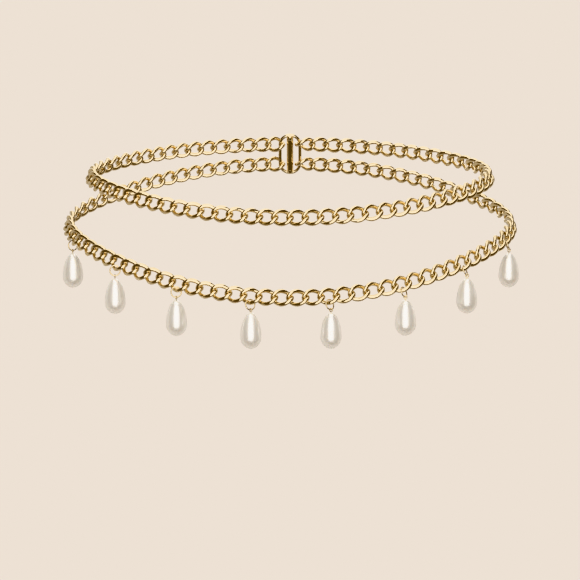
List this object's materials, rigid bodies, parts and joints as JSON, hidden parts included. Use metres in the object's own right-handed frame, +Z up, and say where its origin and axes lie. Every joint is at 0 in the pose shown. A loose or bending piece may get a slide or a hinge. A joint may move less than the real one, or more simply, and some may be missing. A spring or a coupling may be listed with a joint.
{
  "type": "waist chain",
  "caption": "Two-strand waist chain of twisted curb links on one clasp, the lower strand deeper and hung with teardrop faux pearls on jump rings.",
  "frame": {"origin": "middle of the waist opening, level with the sides of the upper strand, where the belt sits on a waist", "axes": "+Z up as worn, -Y the front of the belt, +X its left side as the wearer's left hand points, along its width"},
  "size_m": [0.3004, 0.2183, 0.1219],
  "materials": {
    "gold": "polished yellow gold plating over a brass-coloured alloy, bright and clean, a little darker in the crossings",
    "pearl": "ivory faux pearl coating over a plastic bead, glossy, faintly pink and green at grazing angles"
  },
  "bodies": {
    "root": {"upper_chain": "gold", "lower_chain": "gold", "clasp": "gold", "jump_ring_1": "gold", "jump_ring_2": "gold", "jump_ring_3": "gold", "jump_ring_4": "gold", "jump_ring_5": "gold", "jump_ring_6": "gold", "jump_ring_7": "gold", "jump_ring_8": "gold", "eye_pin_1": "gold", "eye_pin_2": "gold", "eye_pin_3": "gold", "eye_pin_4": "gold", "eye_pin_5": "gold", "eye_pin_6": "gold", "eye_pin_7": "gold", "eye_pin_8": "gold", "pearl_1": "pearl", "pearl_2": "pearl", "pearl_3": "pearl", "pearl_4": "pearl", "pearl_5": "pearl", "pearl_6": "pearl", "pearl_7": "pearl", "pearl_8": "pearl"}
  },
  "joints": []
}
